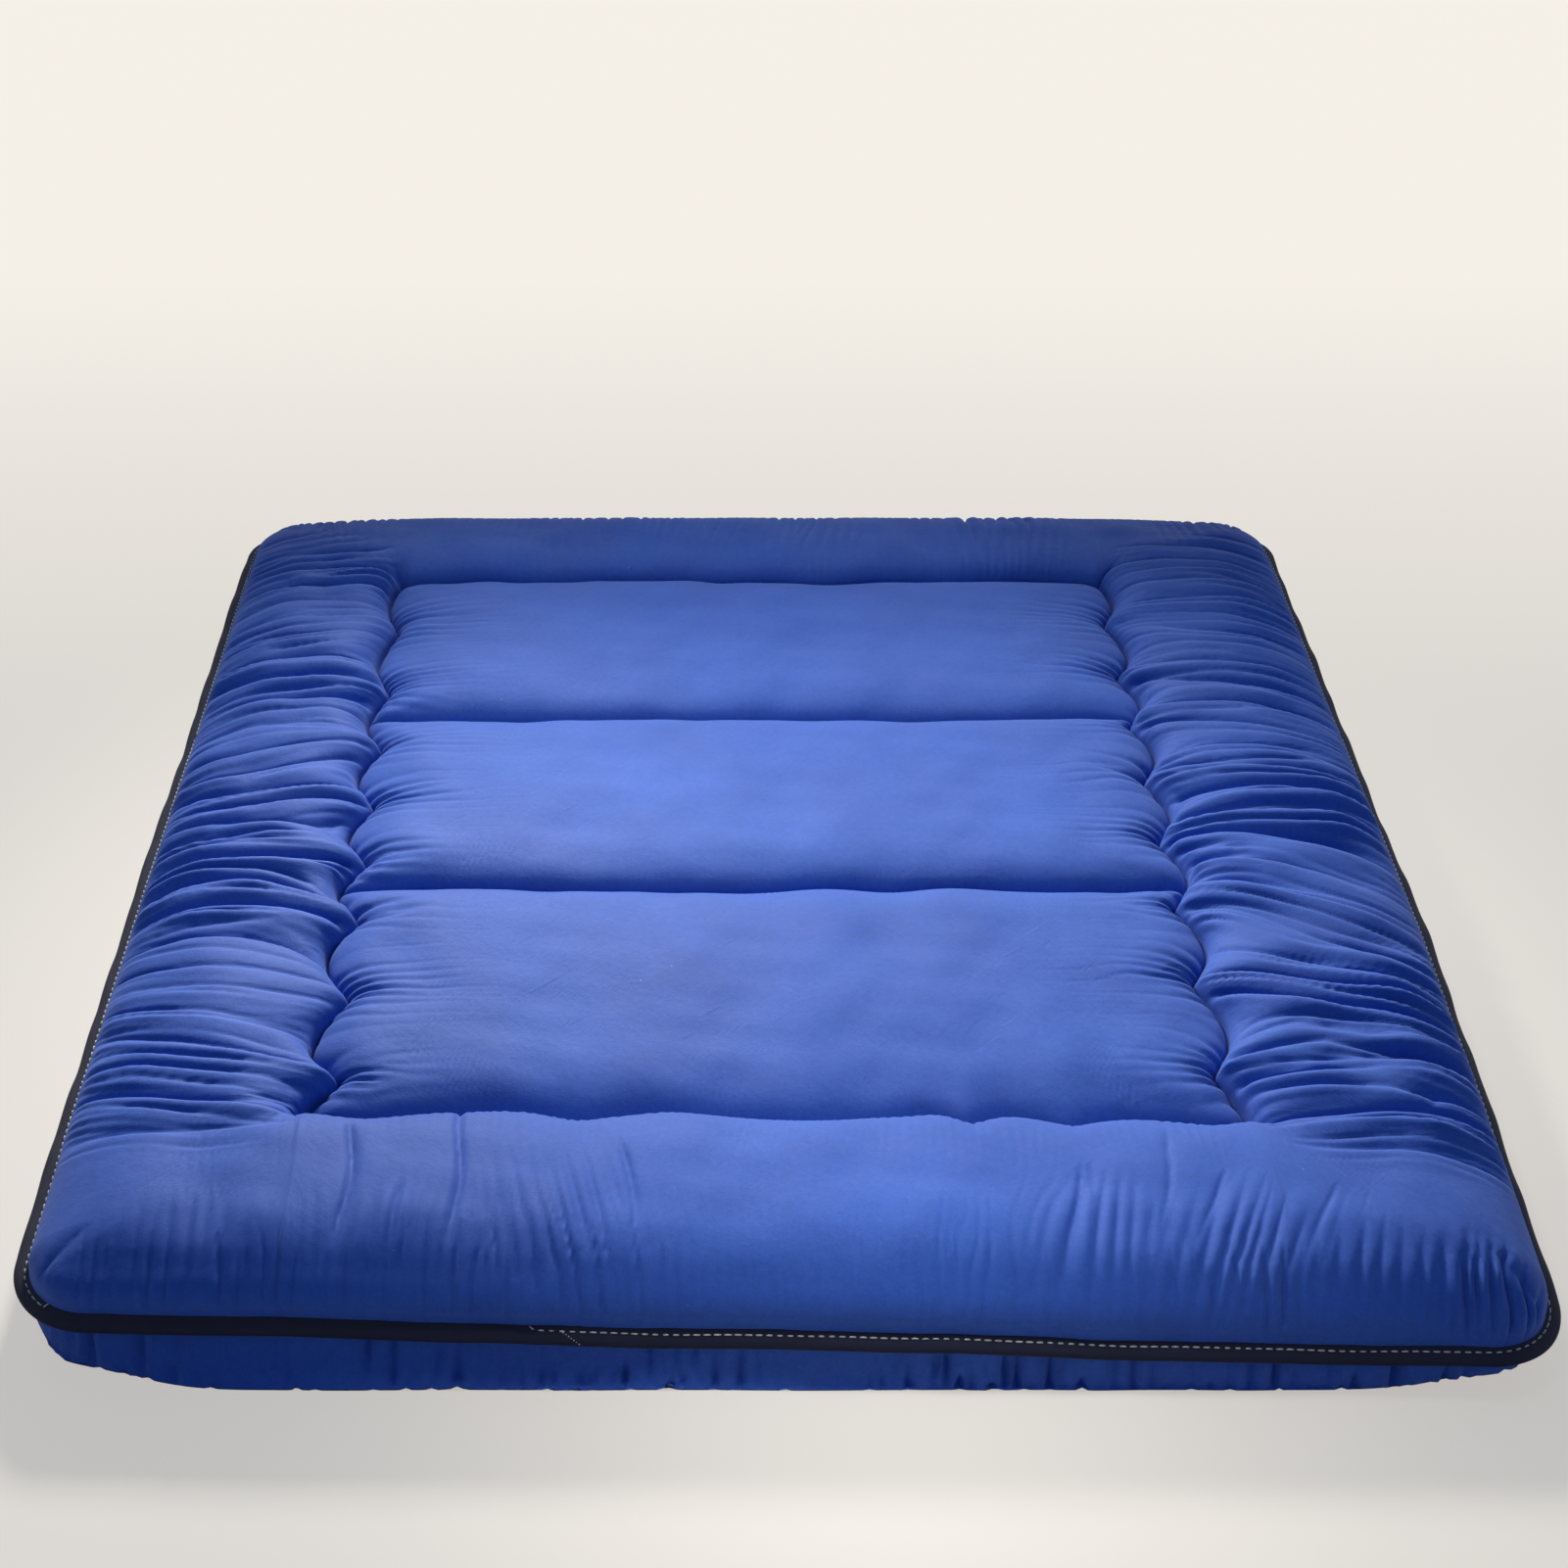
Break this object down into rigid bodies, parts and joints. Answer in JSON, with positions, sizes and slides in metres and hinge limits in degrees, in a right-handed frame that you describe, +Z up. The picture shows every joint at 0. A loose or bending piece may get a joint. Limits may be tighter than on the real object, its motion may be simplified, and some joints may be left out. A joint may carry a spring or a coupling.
{
  "type": "futon mattress",
  "caption": "Thick quilted floor futon mattress with a scalloped bolster border, puffed panels and a bound edge, folding at its quilting lines.",
  "frame": {"origin": "on the floor, under the middle of the mattress's bounding box", "axes": "+Y from the foot edge to the head edge, along the length; +X across the width; +Z up, out of the sleeping side"},
  "size_m": [1.83, 2.03, 0.165],
  "materials": {
    "cover": "royal-blue brushed microfibre, soft short nap, matte with a faint sheen",
    "binding": "dark navy woven tape, folded, matte",
    "topstitch": "light-grey polyester sewing thread",
    "quilting_thread": "blue polyester quilting thread",
    "wadding": "white carded polyester fibre",
    "core": "dense white needled fibre pad"
  },
  "bodies": {
    "foot_end": {"foot_top_cover": "cover", "foot_bottom_cover": "cover", "foot_bolster_roll": "wadding", "foot_binding_tape": "binding", "foot_binding_topstitch": "topstitch"},
    "near_panel": {"near_top_cover": "cover", "near_bottom_cover": "cover", "near_upper_wadding": "wadding", "near_core_pad": "core", "near_lower_wadding": "wadding", "near_left_bolster_roll": "wadding", "near_left_binding_tape": "binding", "near_left_binding_topstitch": "topstitch", "near_left_quilting_thread": "quilting_thread", "near_right_bolster_roll": "wadding", "near_right_binding_tape": "binding", "near_right_binding_topstitch": "topstitch", "near_right_quilting_thread": "quilting_thread", "near_foot_quilting_thread": "quilting_thread"},
    "middle": {"middle_top_cover": "cover", "middle_bottom_cover": "cover", "middle_upper_wadding": "wadding", "middle_core_pad": "core", "middle_lower_wadding": "wadding", "middle_left_bolster_roll": "wadding", "middle_left_binding_tape": "binding", "middle_left_binding_topstitch": "topstitch", "middle_left_quilting_thread": "quilting_thread", "middle_right_bolster_roll": "wadding", "middle_right_binding_tape": "binding", "middle_right_binding_topstitch": "topstitch", "middle_right_quilting_thread": "quilting_thread", "middle_cross_thread_a": "quilting_thread", "middle_cross_thread_b": "quilting_thread", "middle_head_quilting_thread": "quilting_thread"},
    "head_end": {"head_top_cover": "cover", "head_bottom_cover": "cover", "head_bolster_roll": "wadding", "head_binding_tape": "binding", "head_binding_topstitch": "topstitch"}
  },
  "joints": [
    {"name": "near_fold", "type": "hinge", "parent": "middle", "child": "near_panel", "pos_m": [0, -0.177, 0.25], "axis": [-1, 0, 0], "range_deg": [0, 180]},
    {"name": "foot_fold", "type": "hinge", "parent": "near_panel", "child": "foot_end", "pos_m": [0, -0.685, 0.166], "axis": [-1, 0, 0], "range_deg": [0, 180]},
    {"name": "head_fold", "type": "hinge", "parent": "middle", "child": "head_end", "pos_m": [0, 0.753, 0.166], "axis": [1, 0, 0], "range_deg": [0, 180]}
  ]
}
